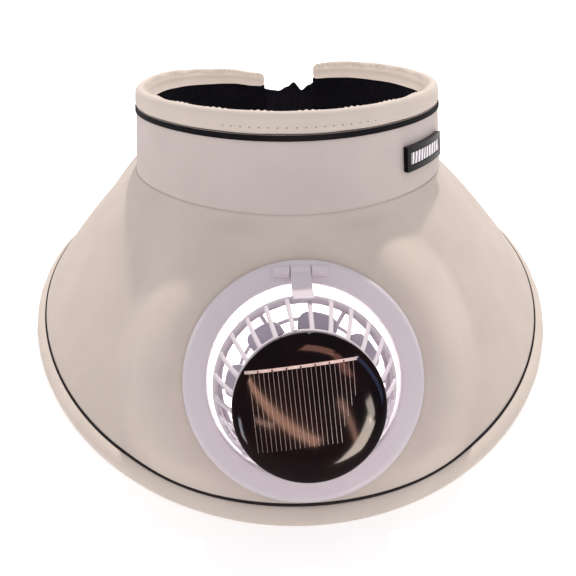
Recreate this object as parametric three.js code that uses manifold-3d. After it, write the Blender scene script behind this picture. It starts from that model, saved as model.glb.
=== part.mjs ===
// Open-top sun visor with a wide sloping brim, a hinged fan in a round hole at the
// front of the brim and a small round solar panel on the front of the fan.
// Millimetres. +X is the viewer's right, +Y the back of the head, +Z up, the front
// faces -Y. The visor stands on the lower edge of its brim at z = 0.
import * as THREE from 'three';
import { mergeVertices } from 'three/addons/utils/BufferGeometryUtils.js';
import ManifoldModule from 'manifold-3d';

const wasm = await ManifoldModule();
wasm.setup();

const GAP = 0.3;                       // air between pieces that lie against each other

// Headband: an oval that is slightly pinched towards the front, leaning backwards
const BAND_HALF_WIDTH = 80.7;
const BAND_FRONT_DEPTH = 102.7;
const BAND_BACK_DEPTH = 98.6;
const BAND_FRONT_PINCH = 0.07;
const BAND_BACK_PINCH = -0.083;
const BAND_TAPER = 0.098;              // radius lost per millimetre of height
const BAND_TILT = -14.7;               // degrees, the front of the band is the high side
const BAND_CENTRE_HEIGHT = 72.3;       // middle of the band's lower edge above the floor
const BAND_THICKNESS = 2;
const BAND_LEFT_END = -172.5;          // the band is open at the back between these angles
const BAND_RIGHT_END = 165;
const ANGLE_STEP = 6;                  // degrees between two stations around the head
const FINE_ANGLE = 36;                 // the brim has twice as many in front of this angle

// Heights on the band, measured up its side from the brim seam
const BAND_TOP = 33.4;
const PIPING_LOW = 31;
const PIPING_THICKNESS = 1.1;
const BINDING_TOP = 42.4;              // the padded roll stands on the top of the band
const BINDING_OUT = 0.6;               // how far it sticks out beyond the band
const BINDING_IN = 2.8;                // and inwards
const SWEATBAND_LOW = 1;
const SWEATBAND_THICKNESS = 1.5;

// How far the top of the band sags towards its two free ends, as a share of its height
const SAG = [
  { angle: -172.5, drop: 0.184 },
  { angle: -166, drop: 0.158 },
  { angle: -159, drop: 0.101 },
  { angle: -151, drop: 0.075 },
  { angle: -138, drop: 0.042 },
  { angle: -128, drop: 0.019 },
  { angle: -116, drop: 0 },
  { angle: 148, drop: 0 },
  { angle: 156, drop: 0.017 },
  { angle: 165, drop: 0.057 },
];

// Brim: horizontal reach from the seam, and the share of it by angle from the front
const BRIM_REACH = 86.5;
const REACH = [
  { angle: 0, share: 1 },
  { angle: 45, share: 0.898 },
  { angle: 90, share: 0.747 },
  { angle: 120, share: 0.551 },
  { angle: 142.2, share: 0.126 },
];
const BRIM_END = 142.2;
const BRIM_THICKNESS = 2.4;
const BRIM_RISE_START = 101;           // behind this angle the edge climbs to the seam
const BRIM_RISE_POWER = 1.457;
const BRIM_BOW = 0.04;                 // bow of the cloth at the rear sides, as a share of its length
const BRIM_ROWS = 10;
const ROLL_WIDTH = 8.2;                // padded binding along the edge of the brim
const ROLL_WIDTH_END = 3.4;
const ROLL_GAP = 0.5;                  // on both sides of the piping
const EDGE_PIPING_WIDTH = 1.3;
const EDGE_PIPING_LOW = -1.4;
const EDGE_PIPING_HIGH = 0.9;

// Fan ring on the brim and the clamp ring inside it
const RING_RISE = 61;                  // up the brim from its edge to the ring's centre
const RING_OPENING = 40.6;
const RING_OUTER = RING_OPENING + 10;  // outer edge of its flat face
const RING_THICKNESS = 3;
const RING_COLLAR_WALL = 1.7;
const HOLE_GAP = 0.4;                  // between the ring's collar and the cloth
const HOLE_RADIUS = RING_OPENING + RING_COLLAR_WALL + HOLE_GAP;
const CLAMP_OUTER = HOLE_RADIUS + 4.1; // the clamp ring grips this much of the cloth
const CLAMP_GAP = 0.7;                 // between the clamp ring and the cloth above it
const CLAMP_THICKNESS = 1.8;
const FLAT_RADIUS = 56;                // the brim is flat around the ring out to here
const FLAT_BLEND = 30;
const FLAT_FROM = 0.08;                // the same in fractions of the brim's length
const FLAT_TO = 0.84;
const RING_SEGMENTS = 48;

// Hinge at the top of the ring
const HINGE_OFFSET = 5;                // above the edge of the ring's opening
const HINGE_HEIGHT = 3;                // above the brim's surface
const KNUCKLE_RADIUS = 2.6;
const HINGE_WIDTH = 23;
const ARM_WIDTH = 8.4;
const ARM_THICKNESS = 2;
const PIN_RADIUS = 1;
const PIN_BORE = 1.08;

// Fan: heights are measured along its axis from the plane of the cage rim
const FAN_LEAN = -10;                  // degrees, the bottom of the fan leans inwards
const FAN_DROP = 0.8;                  // fan's centre below the ring's centre
const RIM_HEIGHT = 15.2;               // rim plane above the brim before the fan leans
const CAGE_GAP = 2.8;                  // between the cage and the ring's opening
const RIM_RADIUS = RING_OPENING - CAGE_GAP;
const RIM_WALL = 2.2;
const RIM_LOW = -3.7;
const RIM_HIGH = 1.2;
const RIB_COUNT = 26;
const RIB_FIRST = 3.9;                 // degrees from the top, clockwise for the viewer
const RIB_WIDTH = 1.5;
const RIB_DEPTH = 1.5;
// share of the way in from the rim to the seat, and of the way up to the seat
const RIB_PATH = [
  { inward: 0, rise: 0.02 },
  { inward: 0.02, rise: 0.13 },
  { inward: 0.12, rise: 0.24 },
  { inward: 0.31, rise: 0.43 },
  { inward: 0.56, rise: 0.65 },
  { inward: 0.8, rise: 0.85 },
  { inward: 1, rise: 0.97 },
];
const PANEL_RADIUS = 28.8;
const PANEL_EDGE = 4.6;
const PANEL_DOME = 2.1;
const SEAT_OVER = 0.2;                 // the seat's radius beyond the panel's
const SEAT_TOP = 25;
const SEAT_THICKNESS = 2.4;
const MOTOR_RADIUS = 11;
const MOTOR_LENGTH = 8.4;
const SHAFT_RADIUS = 1;
const SHAFT_BORE = 1.07;
const SHAFT_END = 2.5;
const HUB_RADIUS = 8.5;
const HUB_LOW = 3;
const HUB_HIGH = 11.6;
const BLADE_COUNT = 8;
const BLADE_FIRST = 11;
const BLADE_HEIGHT = 6.8;
const BLADE_THICKNESS = 1.2;
const BLADE_GAP = 3.2;                 // between the tips and the inside of the rim
const BLADE_TIP = RIM_RADIUS - RIM_WALL - BLADE_GAP;
// radius and width as shares of the tip's radius
const BLADE = [
  { r: 0.231, width: 0.2, pitch: 34 },
  { r: 0.401, width: 0.293, pitch: 30 },
  { r: 0.617, width: 0.417, pitch: 25 },
  { r: 0.802, width: 0.509, pitch: 21 },
  { r: 0.941, width: 0.478, pitch: 18 },
  { r: 1, width: 0.34, pitch: 17 },
];
const GUARD_THICKNESS = 2;
const GUARD_SPOKES = 6;
// shares of the rim's radius
const GUARD_RINGS = [
  { inner: 0.906, outer: 0.979 },
  { inner: 0.717, outer: 0.754 },
  { inner: 0.495, outer: 0.531 },
  { inner: 0.267, outer: 0.309 },
];

// Badge on the viewer's right side of the band
const BADGE_FROM = 39.5;
const BADGE_TO = 64.2;
const BADGE_LOW = 10.7;
const BADGE_HIGH = 21.9;
const BADGE_BORDER = 2.7;
const BADGE_BORDER_ANGLE = 1.7;        // the same border at its two ends, in degrees
const BADGE_DEPTH = 2.4;
const BADGE_FLOOR = 0.9;
const PLATE_THICKNESS = 0.9;

// Elastic that joins the two ends of the band: share of the way between them, and height of its
// top edge as a share of BINDING_TOP
const ELASTIC_LOW = 5;
const ELASTIC_THICKNESS = 1.3;
const ELASTIC_WAVE = 1.5;
const ELASTIC_PLEATS = 7;
const ELASTIC_END_GAP = 0.8;            // degrees between the elastic and each end of the band
const ELASTIC_TOP = [
  { way: 0, height: 0.67 },
  { way: 0.23, height: 0.552 },
  { way: 0.402, height: 0.665 },
  { way: 0.703, height: 0.542 },
  { way: 1, height: 0.575 },
];

const rad = THREE.MathUtils.degToRad;
const vec = (x, y, z) => new THREE.Vector3(x, y, z);
const smooth = (t) => THREE.MathUtils.smoothstep(t, 0, 1);

// Straight-line value of one column of a table at an angle
function lookUp(table, column, angle) {
  if (angle <= table[0].angle) {
    return table[0][column];
  }
  for (let i = 1; i < table.length; i += 1) {
    const low = table[i - 1];
    const high = table[i];
    if (angle <= high.angle) {
      const t = (angle - low.angle) / (high.angle - low.angle);
      return THREE.MathUtils.lerp(low[column], high[column], t);
    }
  }
  return table[table.length - 1][column];
}

// Stations around the head: both ends and every whole step between them
function stations(from, to, step = ANGLE_STEP) {
  const list = [from];
  for (let a = Math.ceil(from / step) * step; a < to; a += step) {
    if (a - from > step * 0.2 && to - a > step * 0.2) {
      list.push(a);
    }
  }
  list.push(to);
  return list;
}

// Closed solid from points and triangles, turned inside out if it needs to be
function solid(points, triangles) {
  let volume = 0;
  for (const [a, b, c] of triangles) {
    volume += points[a].dot(points[b].clone().cross(points[c]));
  }
  const faces = volume < 0 ? triangles.map(([a, b, c]) => [a, c, b]) : triangles;
  const geometry = new THREE.BufferGeometry();
  const values = points.flatMap((p) => p.toArray());
  geometry.setAttribute('position', new THREE.Float32BufferAttribute(values, 3));
  geometry.setIndex(faces.flat());
  return geometry;
}

// Solid that joins a row of rings with the same number of points
function loft(rings, flatProfile) {
  const points = rings.flat();
  const n = rings[0].length;
  const triangles = [];
  for (let i = 0; i < rings.length - 1; i += 1) {
    for (let j = 0; j < n; j += 1) {
      const k = (j + 1) % n;
      const a = i * n;
      const b = a + n;
      triangles.push([a + j, a + k, b + k], [a + j, b + k, b + j]);
    }
  }
  const outline = flatProfile.map(([x, y]) => new THREE.Vector2(x, y));
  const last = (rings.length - 1) * n;
  const same = !THREE.ShapeUtils.isClockWise(outline);
  for (const [a, b, c] of THREE.ShapeUtils.triangulateShape(outline, [])) {
    triangles.push(same ? [a, c, b] : [a, b, c]);
    triangles.push(same ? [last + a, last + b, last + c] : [last + a, last + c, last + b]);
  }
  return solid(points, triangles);
}

// Solid of revolution about Z from a closed [radius, height] outline; a radius of 0 is on the axis
function turn(outline, segments = RING_SEGMENTS) {
  const points = [];
  const first = [];
  for (const [r, z] of outline) {
    first.push(points.length);
    if (r === 0) {
      points.push(vec(0, 0, z));
    } else {
      for (let i = 0; i < segments; i += 1) {
        const a = (2 * Math.PI * i) / segments;
        points.push(vec(r * Math.cos(a), r * Math.sin(a), z));
      }
    }
  }
  const triangles = [];
  for (let j = 0; j < outline.length; j += 1) {
    const k = (j + 1) % outline.length;
    const low = outline[j][0] === 0;
    const high = outline[k][0] === 0;
    for (let i = 0; i < segments; i += 1) {
      const next = (i + 1) % segments;
      if (!low) {
        triangles.push([first[j] + i, first[j] + next, first[k] + (high ? 0 : next)]);
      }
      if (!high) {
        triangles.push([first[j] + (low ? 0 : i), first[k] + next, first[k] + i]);
      }
    }
  }
  return solid(points, triangles);
}

function toManifold(geometry) {
  const bare = geometry.clone();
  bare.deleteAttribute('normal');
  bare.deleteAttribute('uv');
  const merged = mergeVertices(bare, 1e-4);
  return new wasm.Manifold(new wasm.Mesh({
    numProp: 3,
    vertProperties: new Float32Array(merged.attributes.position.array),
    triVerts: new Uint32Array(merged.index.array),
  }));
}

function fromManifold(body) {
  const mesh = body.getMesh();
  const geometry = new THREE.BufferGeometry();
  geometry.setAttribute('position', new THREE.Float32BufferAttribute(mesh.vertProperties, 3));
  geometry.setIndex([...mesh.triVerts]);
  return geometry;
}

function join(...geometries) {
  return fromManifold(geometries.map(toManifold).reduce((sum, next) => sum.add(next)));
}

function cut(geometry, ...tools) {
  const rest = tools.map(toManifold).reduce((body, next) => body.subtract(next), toManifold(geometry));
  return fromManifold(rest);
}

function block(width, depth, height, x, y, z) {
  return new THREE.BoxGeometry(width, depth, height).translate(x, y, z);
}

function rod(radius, length, x, y, z, segments = 20) {
  const cylinder = new THREE.CylinderGeometry(radius, radius, length, segments);
  return cylinder.rotateZ(Math.PI / 2).translate(x, y, z);
}

const meshes = [];

function add(name, geometry, color, roughness, metalness = 0) {
  const flat = geometry.toNonIndexed();
  flat.computeVertexNormals();
  const mesh = new THREE.Mesh(flat, new THREE.MeshStandardMaterial({ color, roughness, metalness }));
  mesh.name = name;
  meshes.push(mesh);
}

// Point on the band: angle from the front, height up its side, distance outside its lower oval
function bandPoint(angle, height, out) {
  const a = rad(angle);
  const sin = Math.sin(a);
  const cos = Math.cos(a);
  const back = cos < 0;
  const pinch = back ? BAND_BACK_PINCH : BAND_FRONT_PINCH;
  const grow = out - BAND_TAPER * height;
  const depth = (back ? BAND_BACK_DEPTH : BAND_FRONT_DEPTH) + grow;
  const x = (BAND_HALF_WIDTH + grow) * sin * (1 - pinch * cos * cos);
  const y = -depth * cos * (1 - pinch * sin * sin);
  const tilt = rad(BAND_TILT);
  return vec(
    x,
    y * Math.cos(tilt) - height * Math.sin(tilt),
    y * Math.sin(tilt) + height * Math.cos(tilt) + BAND_CENTRE_HEIGHT,
  );
}

// Height on the band after the sag at its free ends
function sagged(angle, height) {
  return height * (1 - lookUp(SAG, 'drop', angle));
}

// Solid that runs along the band with an outline of [outside distance, height] pairs
function bandStrip(outline, from = BAND_LEFT_END, to = BAND_RIGHT_END, step = ANGLE_STEP) {
  const rings = stations(from, to, step).map((angle) => outline.map(([out, height]) => (
    bandPoint(angle, sagged(angle, height), out)
  )));
  return loft(rings, outline);
}

const boxOutline = (out0, out1, low, high) => [[out0, low], [out1, low], [out1, high], [out0, high]];

// Brim reach: the polynomial in the squared angle that passes through the table
function reach(angle) {
  const x = angle * angle;
  let sum = 0;
  for (const row of REACH) {
    let term = row.share * BRIM_REACH;
    for (const other of REACH) {
      if (other !== row) {
        term *= (x - other.angle ** 2) / (row.angle ** 2 - other.angle ** 2);
      }
    }
    sum += term;
  }
  return sum;
}

const BRIM_OUT = BAND_THICKNESS + GAP;
const seamPoint = (angle) => bandPoint(angle, 0, BRIM_OUT);

// Outer edge of the brim, which lies on the floor except near its two back ends
function edgePoint(angle) {
  const a = rad(angle);
  const inner = bandPoint(angle, 0, 0);
  const along = new THREE.Vector2(BAND_FRONT_DEPTH * Math.sin(a), -BAND_HALF_WIDTH * Math.cos(a)).normalize();
  const t = (Math.abs(angle) - BRIM_RISE_START) / (BRIM_END - BRIM_RISE_START);
  const rise = smooth(t) ** BRIM_RISE_POWER;
  return vec(inner.x + reach(angle) * along.x, inner.y + reach(angle) * along.y, inner.z * rise);
}

// Frame of the ring: X across, Y up the brim, Z out of the brim
const upBrim = seamPoint(0).sub(edgePoint(0)).normalize();
const ringCentre = edgePoint(0).addScaledVector(upBrim, RING_RISE);
const across = vec(1, 0, 0);
const outOfBrim = across.clone().cross(upBrim);
const ringFrame = new THREE.Matrix4().makeBasis(across, upBrim, outOfBrim).setPosition(ringCentre);
const toRing = ringFrame.clone().invert();

// Frame of the fan: the ring's frame moved to the cage rim and leant about the hinge
const HINGE_UP = RING_OPENING + HINGE_OFFSET;
const FAN_REACH = HINGE_UP + FAN_DROP;
const fanFrame = ringFrame.clone()
  .multiply(new THREE.Matrix4().makeTranslation(0, HINGE_UP, HINGE_HEIGHT))
  .multiply(new THREE.Matrix4().makeRotationX(-rad(FAN_LEAN)))
  .multiply(new THREE.Matrix4().makeTranslation(0, -FAN_REACH, RIM_HEIGHT - HINGE_HEIGHT));

// Upper surface of the brim: t runs from 0 at the band to 1 at the edge
function brimPoint(angle, t) {
  const seam = seamPoint(angle);
  const edge = edgePoint(angle);
  const bow = BRIM_BOW * seam.distanceTo(edge) * smooth((Math.abs(angle) - 70) / 50);
  const point = seam.lerp(edge, t);
  point.z += bow * 4 * t * (1 - t);
  const local = point.clone().applyMatrix4(toRing);
  const free = smooth((Math.hypot(local.x, local.y) - FLAT_RADIUS) / FLAT_BLEND);
  const press = (1 - free) * smooth(t / FLAT_FROM) * (1 - smooth((t - FLAT_TO) / (1 - FLAT_TO)));
  local.z *= 1 - press;
  return local.applyMatrix4(ringFrame);
}

function brimNormal(angle, t) {
  const step = 0.5;
  const left = brimPoint(Math.max(angle - step, -BRIM_END), t);
  const right = brimPoint(Math.min(angle + step, BRIM_END), t);
  const upper = brimPoint(angle, Math.max(t - 0.01, 0));
  const lower = brimPoint(angle, Math.min(t + 0.01, 1));
  const side = right.sub(left);
  const down = lower.sub(upper);
  return down.cross(side).normalize();
}

const edgeFraction = (angle, distance) => 1 - distance / seamPoint(angle).distanceTo(edgePoint(angle));

function rollWidth(angle) {
  return THREE.MathUtils.lerp(ROLL_WIDTH, ROLL_WIDTH_END, smooth((Math.abs(angle) - 95) / 45));
}

const brimStations = [
  ...stations(-BRIM_END, -FINE_ANGLE),
  ...stations(-FINE_ANGLE, FINE_ANGLE, ANGLE_STEP / 2).slice(1, -1),
  ...stations(FINE_ANGLE, BRIM_END),
];

function makeBrim() {
  const flat = [];
  const rings = brimStations.map((angle) => {
    const end = edgeFraction(angle, rollWidth(angle) + 2 * ROLL_GAP + EDGE_PIPING_WIDTH);
    const upper = [];
    const lower = [];
    for (let j = 0; j <= BRIM_ROWS; j += 1) {
      const t = (end * j) / BRIM_ROWS;
      const point = brimPoint(angle, t);
      upper.push(point);
      lower.unshift(point.clone().addScaledVector(brimNormal(angle, t), -BRIM_THICKNESS));
    }
    return [...upper, ...lower];
  });
  for (let j = 0; j <= BRIM_ROWS; j += 1) {
    flat.push([j, 0]);
  }
  for (let j = BRIM_ROWS; j >= 0; j -= 1) {
    flat.push([j, -1]);
  }
  const deep = 6 * BRIM_THICKNESS;
  const hole = turn([[0, -deep], [HOLE_RADIUS, -deep], [HOLE_RADIUS, deep], [0, deep]]);
  return cut(loft(rings, flat), hole.applyMatrix4(ringFrame));
}

// Solid along the brim's edge with an outline of [distance in from the edge, height] pairs
function edgeStrip(outline) {
  const rings = brimStations.map((angle) => {
    const width = rollWidth(angle);
    const edge = edgePoint(angle);
    const start = brimPoint(angle, edgeFraction(angle, width));
    const normal = brimNormal(angle, edgeFraction(angle, width));
    return outline(width).map(([inward, height]) => {
      const foot = inward > width
        ? brimPoint(angle, edgeFraction(angle, inward))
        : edge.clone().lerp(start, inward / width);
      const point = foot.addScaledVector(normal, height);
      point.z = Math.max(point.z, 0);
      return point;
    });
  });
  return loft(rings, outline(ROLL_WIDTH));
}

function rollOutline(width) {
  const tall = (ROLL_WIDTH + width) / 2;
  return [
    [width, 0.07 * tall], [0.72 * width, 0.2 * tall], [0.3 * width, 0.16 * tall],
    [0.04 * width, 0.01 * tall], [0, -0.15 * tall], [0.1 * width, -0.37 * tall],
    [0.45 * width, -0.45 * tall], [0.9 * width, -0.4 * tall], [width, -0.29 * tall],
  ];
}

const edgePipingOutline = (width) => [
  [width + ROLL_GAP, EDGE_PIPING_LOW],
  [width + ROLL_GAP + EDGE_PIPING_WIDTH, EDGE_PIPING_LOW],
  [width + ROLL_GAP + EDGE_PIPING_WIDTH, EDGE_PIPING_HIGH],
  [width + ROLL_GAP, EDGE_PIPING_HIGH],
];

// Padded roll: its outer side is almost flush with the band
const BINDING_LOW = BAND_TOP + GAP;
const BINDING_TALL = BINDING_TOP - BINDING_LOW;
const bindingOutline = [
  [BAND_THICKNESS, BINDING_LOW],
  [BAND_THICKNESS + BINDING_OUT, BINDING_LOW + 0.27 * BINDING_TALL],
  [BAND_THICKNESS + BINDING_OUT, BINDING_LOW + 0.73 * BINDING_TALL],
  [BAND_THICKNESS * 0.65, BINDING_TOP - 0.07 * BINDING_TALL],
  [BAND_THICKNESS * 0.1, BINDING_TOP],
  [-BINDING_IN * 0.5, BINDING_TOP - 0.07 * BINDING_TALL],
  [-BINDING_IN, BINDING_LOW + 0.67 * BINDING_TALL],
  [-BINDING_IN, BINDING_LOW + 0.27 * BINDING_TALL],
  [-BINDING_IN * 0.75, BINDING_LOW],
];

function makeElastic() {
  const from = BAND_RIGHT_END + ELASTIC_END_GAP;
  const to = 360 + BAND_LEFT_END - ELASTIC_END_GAP;
  const edge = ELASTIC_TOP.map((row) => (
    { angle: THREE.MathUtils.lerp(from, to, row.way), height: row.height }
  ));
  const steps = ELASTIC_PLEATS * 4;
  const rings = [];
  for (let i = 0; i <= steps; i += 1) {
    const angle = THREE.MathUtils.lerp(from, to, i / steps);
    const fold = ELASTIC_WAVE * Math.sin((2 * Math.PI * ELASTIC_PLEATS * i) / steps);
    const middle = BAND_THICKNESS / 2 + fold;
    const top = BINDING_TOP * lookUp(edge, 'height', angle);
    const half = ELASTIC_THICKNESS / 2;
    const outline = boxOutline(middle - half, middle + half, ELASTIC_LOW, top);
    rings.push(outline.map(([out, height]) => bandPoint(angle, height, out)));
  }
  return loft(rings, boxOutline(0, 1, 0, 1));
}

const BADGE_OUT = BAND_THICKNESS + GAP;

function makeBadgeFrame() {
  const outer = boxOutline(BADGE_OUT, BADGE_OUT + BADGE_DEPTH, BADGE_LOW, BADGE_HIGH);
  const low = BADGE_LOW + BADGE_BORDER;
  const high = BADGE_HIGH - BADGE_BORDER;
  const inner = boxOutline(BADGE_OUT + BADGE_FLOOR, BADGE_OUT + BADGE_DEPTH + 2, low, high);
  const body = bandStrip(outer, BADGE_FROM, BADGE_TO, 3);
  const window = bandStrip(inner, BADGE_FROM + BADGE_BORDER_ANGLE, BADGE_TO - BADGE_BORDER_ANGLE, 3);
  return cut(body, window);
}

function makeBadgePlate() {
  const back = BADGE_OUT + BADGE_FLOOR + GAP;
  const low = BADGE_LOW + BADGE_BORDER + GAP;
  const high = BADGE_HIGH - BADGE_BORDER - GAP;
  const outline = boxOutline(back, back + PLATE_THICKNESS, low, high);
  const inset = BADGE_BORDER_ANGLE + 0.25;
  return bandStrip(outline, BADGE_FROM + inset, BADGE_TO - inset, 3);
}

function makeRing() {
  const back = -BRIM_THICKNESS - CLAMP_GAP - CLAMP_THICKNESS;
  const collar = RING_OPENING + RING_COLLAR_WALL;
  const plate = turn([
    [RING_OPENING, back],
    [collar, back],
    [collar, GAP],
    [RING_OUTER - 1, GAP],
    [RING_OUTER, GAP + 0.9],
    [RING_OUTER - 0.4, GAP + 2.2],
    [RING_OUTER - 1.4, GAP + RING_THICKNESS],
    [RING_OPENING + 0.8, GAP + RING_THICKNESS],
    [RING_OPENING, GAP + RING_THICKNESS - 0.8],
  ]);
  const half = ARM_WIDTH / 2 + GAP;
  const notchLow = RING_OPENING - 3;
  const notchHigh = HINGE_UP + KNUCKLE_RADIUS + GAP;
  const notch = block(2 * half, notchHigh - notchLow, 30, 0, (notchLow + notchHigh) / 2, 0);
  const knuckleLength = (HINGE_WIDTH - 2 * half) / 2;
  const side = half + knuckleLength / 2;
  const knuckles = [-side, side].flatMap((x) => [
    rod(KNUCKLE_RADIUS, knuckleLength, x, HINGE_UP, HINGE_HEIGHT),
    block(knuckleLength, 2 * KNUCKLE_RADIUS, HINGE_HEIGHT - GAP, x, HINGE_UP, (HINGE_HEIGHT + GAP) / 2),
  ]);
  const pin = rod(PIN_RADIUS, HINGE_WIDTH - 1, 0, HINGE_UP, HINGE_HEIGHT, 24);
  return join(cut(plate, notch), ...knuckles, pin).applyMatrix4(ringFrame);
}

function makeClamp() {
  const top = -BRIM_THICKNESS - CLAMP_GAP;
  const inner = RING_OPENING + RING_COLLAR_WALL + GAP;
  return turn([
    [inner, top - CLAMP_THICKNESS],
    [CLAMP_OUTER, top - CLAMP_THICKNESS],
    [CLAMP_OUTER, top],
    [inner, top],
  ], 40).applyMatrix4(ringFrame);
}

// Point on the middle line of a rib: radius and height along the fan's axis
const SEAT_RADIUS = PANEL_RADIUS + SEAT_OVER;

function ribPoint({ inward, rise }) {
  const start = RIM_RADIUS - RIM_WALL / 2;
  const end = SEAT_RADIUS - RIB_DEPTH / 2;
  return { r: THREE.MathUtils.lerp(start, end, inward), z: SEAT_TOP * rise };
}

// Strap with a barrel round the hinge pin and a tab on the front of the cage; seen along X
function makeArm() {
  const barrel = { y: FAN_REACH, z: HINGE_HEIGHT - RIM_HEIGHT };
  const inner = RIM_RADIUS + GAP;
  const outer = inner + ARM_THICKNESS;
  const tab = ribPoint({ inward: 0.16, rise: 0.3 });
  const tabEdge = tab.r + RIB_DEPTH / 2 + 2 * GAP;
  const strap = new THREE.Shape([
    new THREE.Vector2(tabEdge, tab.z),
    new THREE.Vector2(inner, RIM_HIGH + 1),
    new THREE.Vector2(inner, -2.2),
    new THREE.Vector2(barrel.y - 1.6, barrel.z - 0.6),
    new THREE.Vector2(barrel.y + 1.3, barrel.z + 1),
    new THREE.Vector2(outer, -1.6),
    new THREE.Vector2(outer, RIM_HIGH + 1.8),
    new THREE.Vector2(tabEdge + ARM_THICKNESS, tab.z + 0.8),
  ]);
  const bar = new THREE.ExtrudeGeometry(strap, { depth: ARM_WIDTH, bevelEnabled: false });
  bar.applyMatrix4(new THREE.Matrix4().makeBasis(vec(0, 1, 0), vec(0, 0, 1), vec(1, 0, 0)));
  bar.translate(-ARM_WIDTH / 2, 0, 0);
  const round = rod(KNUCKLE_RADIUS, ARM_WIDTH, 0, barrel.y, barrel.z);
  const bore = rod(PIN_BORE, ARM_WIDTH + 2, 0, barrel.y, barrel.z, 24);
  return cut(join(bar, round), bore).applyMatrix4(fanFrame);
}

function makeRib(angle) {
  const path = RIB_PATH.map(ribPoint);
  const rings = path.map((point, i) => {
    const before = path[Math.max(i - 1, 0)];
    const after = path[Math.min(i + 1, path.length - 1)];
    const way = new THREE.Vector2(after.r - before.r, after.z - before.z).normalize();
    const inside = new THREE.Vector2(-way.y, way.x);
    return [[-1, -1], [1, -1], [1, 1], [-1, 1]].map(([s, d]) => vec(
      (s * RIB_WIDTH) / 2,
      point.r + (d * inside.x * RIB_DEPTH) / 2,
      point.z + (d * inside.y * RIB_DEPTH) / 2,
    ));
  });
  return loft(rings, [[-1, -1], [1, -1], [1, 1], [-1, 1]]).rotateZ(-rad(angle));
}

function makeCage() {
  const rim = turn([
    [RIM_RADIUS - RIM_WALL, RIM_LOW],
    [RIM_RADIUS, RIM_LOW],
    [RIM_RADIUS, RIM_HIGH],
    [RIM_RADIUS - RIM_WALL, RIM_HIGH],
  ]);
  const seat = turn([
    [0, SEAT_TOP - SEAT_THICKNESS],
    [SEAT_RADIUS, SEAT_TOP - SEAT_THICKNESS],
    [SEAT_RADIUS, SEAT_TOP],
    [0, SEAT_TOP],
  ]);
  const ribs = [];
  for (let i = 0; i < RIB_COUNT; i += 1) {
    ribs.push(makeRib(RIB_FIRST + (360 * i) / RIB_COUNT));
  }
  return join(rim, seat, ...ribs).applyMatrix4(fanFrame);
}

function makePanel() {
  const low = SEAT_TOP + GAP;
  return turn([
    [0, low],
    [PANEL_RADIUS - 0.5, low],
    [PANEL_RADIUS, low + 0.5],
    [PANEL_RADIUS, low + PANEL_EDGE - 0.7],
    [PANEL_RADIUS - 0.8, low + PANEL_EDGE],
    [PANEL_RADIUS * 0.72, low + PANEL_EDGE + PANEL_DOME * 0.6],
    [PANEL_RADIUS * 0.4, low + PANEL_EDGE + PANEL_DOME * 0.9],
    [0, low + PANEL_EDGE + PANEL_DOME],
  ], 40).applyMatrix4(fanFrame);
}

function makeMotor() {
  const top = SEAT_TOP - SEAT_THICKNESS - GAP;
  return turn([
    [0, SHAFT_END],
    [SHAFT_RADIUS, SHAFT_END],
    [SHAFT_RADIUS, top - MOTOR_LENGTH],
    [MOTOR_RADIUS, top - MOTOR_LENGTH],
    [MOTOR_RADIUS, top],
    [0, top],
  ], 32).applyMatrix4(fanFrame);
}

// Petal whose outline comes from the table, swept outwards and pitched less towards its tip
function makeBlade(angle) {
  const rings = BLADE.map(({ r, width, pitch }) => {
    const p = rad(pitch);
    return [[-1, -1], [1, -1], [1, 1], [-1, 1]].map(([side, up]) => {
      const x = (side * width * BLADE_TIP) / 2;
      const z = (up * BLADE_THICKNESS) / 2;
      const height = BLADE_HEIGHT + x * Math.sin(p) + z * Math.cos(p);
      return vec(x * Math.cos(p) - z * Math.sin(p), r * BLADE_TIP, height);
    });
  });
  return loft(rings, [[-1, -1], [1, -1], [1, 1], [-1, 1]]).rotateZ(-rad(angle));
}

function makeBlades() {
  const hub = turn([
    [0, HUB_LOW],
    [HUB_RADIUS, HUB_LOW],
    [HUB_RADIUS, HUB_HIGH - 0.8],
    [HUB_RADIUS - 0.8, HUB_HIGH],
    [0, HUB_HIGH],
  ], 32);
  const blades = [];
  for (let i = 0; i < BLADE_COUNT; i += 1) {
    blades.push(makeBlade(BLADE_FIRST + (360 * i) / BLADE_COUNT));
  }
  const bore = turn([[0, -1], [SHAFT_BORE, -1], [SHAFT_BORE, HUB_HIGH + 1], [0, HUB_HIGH + 1]], 32);
  return cut(join(hub, ...blades), bore).applyMatrix4(fanFrame);
}

function makeGuard() {
  const top = RIM_LOW - GAP;
  const low = top - GUARD_THICKNESS;
  const rings = GUARD_RINGS.map((row) => {
    const inner = row.inner * RIM_RADIUS;
    const outer = row.outer * RIM_RADIUS;
    return turn([[inner, low], [outer, low], [outer, top], [inner, top]], 28);
  });
  const start = (GUARD_RINGS[GUARD_RINGS.length - 1].outer - 0.016) * RIM_RADIUS;
  const end = (GUARD_RINGS[0].inner + 0.016) * RIM_RADIUS;
  for (let i = 0; i < GUARD_SPOKES; i += 1) {
    const spoke = block(1.6, end - start, GUARD_THICKNESS * 0.8, 0, (start + end) / 2, (top + low) / 2);
    rings.push(spoke.rotateZ((2 * Math.PI * (i + 0.5)) / GUARD_SPOKES));
  }
  return join(...rings).applyMatrix4(fanFrame);
}

const CLOTH = '#cdc8c4';
const BLACK_CLOTH = '#17161a';
const WHITE_PLASTIC = '#ece9ee';

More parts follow.
